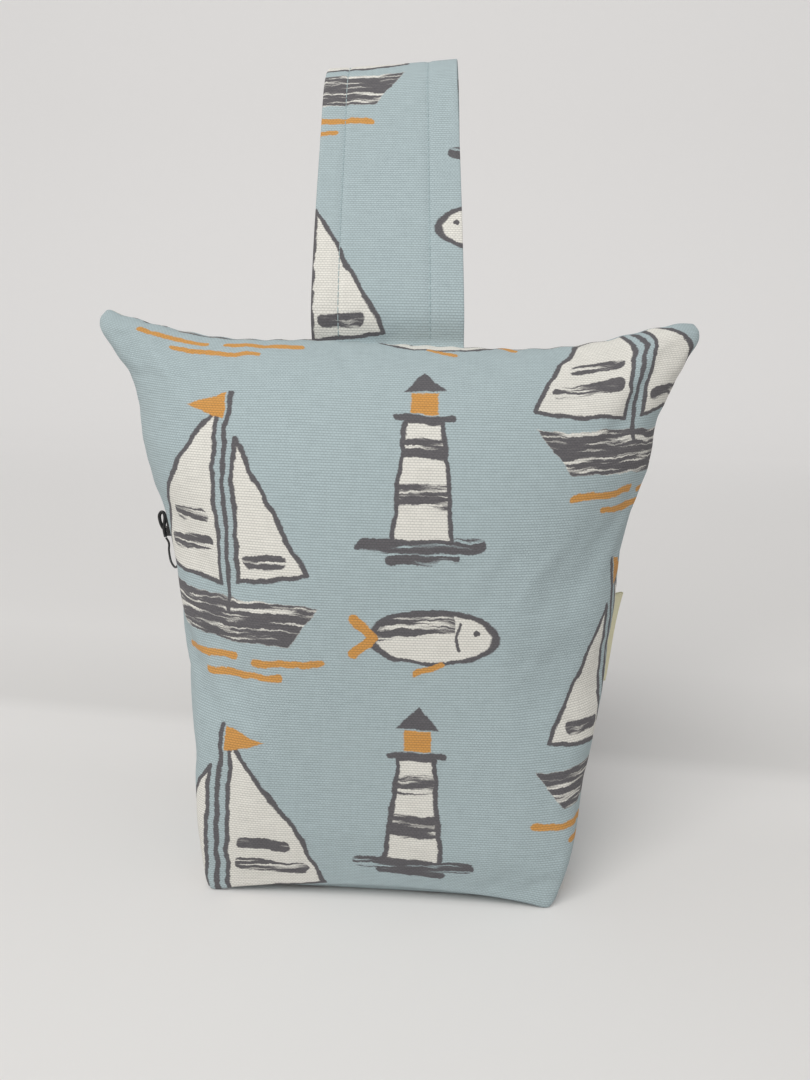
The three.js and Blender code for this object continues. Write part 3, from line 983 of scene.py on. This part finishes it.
# No glow reaches under the bag, so the floor under its edges is painted darker, as shade: start and length of
# its end at the sides, the front and the back of the base.
UNDER_SIDES = (0.0665, -0.003)
UNDER_FRONT = (-0.056, 0.004)
UNDER_BACK = (0.05, -0.004)
bend = np.linspace(0, np.pi / 2, 24)
profile = [(FLOOR_FRONT, 0.0)]
profile += [(CURVE_START + CURVE_RADIUS * math.sin(a), CURVE_RADIUS * (1 - math.cos(a))) for a in bend]
profile += [(CURVE_START + CURVE_RADIUS, SWEEP_TOP)]
sweep_points = [(side * FLOOR_WIDTH / 2 / MM, y / MM, z / MM) for y, z in profile for side in (-1, 1)]
sweep_faces = [[2 * k, 2 * k + 1, 2 * k + 3, 2 * k + 2] for k in range(len(profile) - 1)]
sweep = piece_from("card_sweep", sweep_points, sweep_faces)
card = bpy.data.materials.new("pale_card")
card.use_nodes = True
card_tree = card.node_tree
card_shader = card_tree.nodes["Principled BSDF"]
card_place = Level(card_tree, card_tree.nodes.new("ShaderNodeTexCoord").outputs["Object"])
card_x, card_y = parts_of(card_tree, card_place)


def ramp(value, start, length):
    """Rises from 0 at its start to 1 a length on, or back from its start where the length is negative."""
    return value.maths("MULTIPLY_ADD", 1 / length, -start / length, clamp=True)


glow = ramp(card_y, *FAR_GLOW[1:]) * FAR_GLOW[0]
from_fold = card_x * FOLD_SLANT + card_y
# Painted highlight and painted shade of a soft fold that the card doesn't have.
for strength, start, length in PAINTED_FOLD_LIGHT_AND_SHADE:
    glow = glow + ramp(from_fold, start, length) * strength
glow = glow + EVEN_GLOW
# Painted shade: the glow is cut out under the bag's edges.
painted_shade_under_bag = ramp(card_x.maths("ABSOLUTE"), *UNDER_SIDES) * ramp(card_y, *UNDER_BACK)
painted_shade_under_bag = painted_shade_under_bag * ramp(card_x * math.tan(-BASE_TWIST) + card_y, *UNDER_FRONT)
glow = glow * painted_shade_under_bag.maths("MULTIPLY_ADD", -1.0, 1.0)
camera_ray = Level(card_tree, card_tree.nodes.new("ShaderNodeLightPath").outputs["Is Camera Ray"])
connect(card_tree, card_shader.inputs["Emission Strength"], glow * camera_ray)
card_shader.inputs["Emission Color"].default_value = GLOW_COLOUR
card_shader.inputs["Base Color"].default_value = CARD_COLOUR
card_shader.inputs["Roughness"].default_value = 0.95
card_shader.inputs["Specular IOR Level"].default_value = 0.1
sweep.data.materials.append(card)

# Soft light from a large window, high on the left in front, and a pale room all round.
WINDOW_SIZE = (1.2, 1.0)
WINDOW_WATTS = 19
WINDOW_PLACE = Vector((-0.55, -1.05, 1.5))
LIT_PLACE = Vector((0, 0, 0.15))
world = bpy.data.worlds.new("pale_room")
bpy.context.scene.world = world
world.use_nodes = True
room = world.node_tree.nodes["Background"]
room.inputs["Color"].default_value = (1.0, 0.995, 0.985, 1)
room.inputs["Strength"].default_value = 0.5
window = bpy.data.lights.new("window", "AREA")
window.shape = "RECTANGLE"
window.size, window.size_y = WINDOW_SIZE
window.energy = WINDOW_WATTS
window.color = (1.0, 0.99, 0.97)
window_lamp = bpy.data.objects.new("window", window)
bpy.context.collection.objects.link(window_lamp)
towards_bag = (LIT_PLACE - WINDOW_PLACE).to_track_quat("-Z", "Y").to_matrix().to_4x4()
window_lamp.matrix_world = Matrix.Translation(WINDOW_PLACE) @ towards_bag

# Camera at the photograph's place, a little above the top seam and looking slightly down.
EYE_DISTANCE = 0.3778
EYE_HEIGHT = 0.2314
EYE_TURN = math.radians(2.275)
LOOK_TURN = math.radians(1.632)
LOOK_DOWN = math.radians(13.339)
ROLL = math.radians(0.921)
FOCAL_PIXELS = 880
PHOTO_HEIGHT = 1080
lens = bpy.data.cameras.new("camera")
lens.sensor_width = 36
lens.lens = FOCAL_PIXELS / PHOTO_HEIGHT * lens.sensor_width
lens.clip_start = 0.01
camera = bpy.data.objects.new("camera", lens)
bpy.context.collection.objects.link(camera)
eye = Vector((EYE_DISTANCE * math.sin(EYE_TURN), -EYE_DISTANCE * math.cos(EYE_TURN), EYE_HEIGHT))
camera.matrix_world = (Matrix.Translation(eye) @ Matrix.Rotation(LOOK_TURN, 4, "Z")
                       @ Matrix.Rotation(math.pi / 2 - LOOK_DOWN, 4, "X") @ Matrix.Rotation(ROLL, 4, "Z"))
bpy.context.scene.camera = camera
bpy.context.scene.view_settings.view_transform = "Standard"
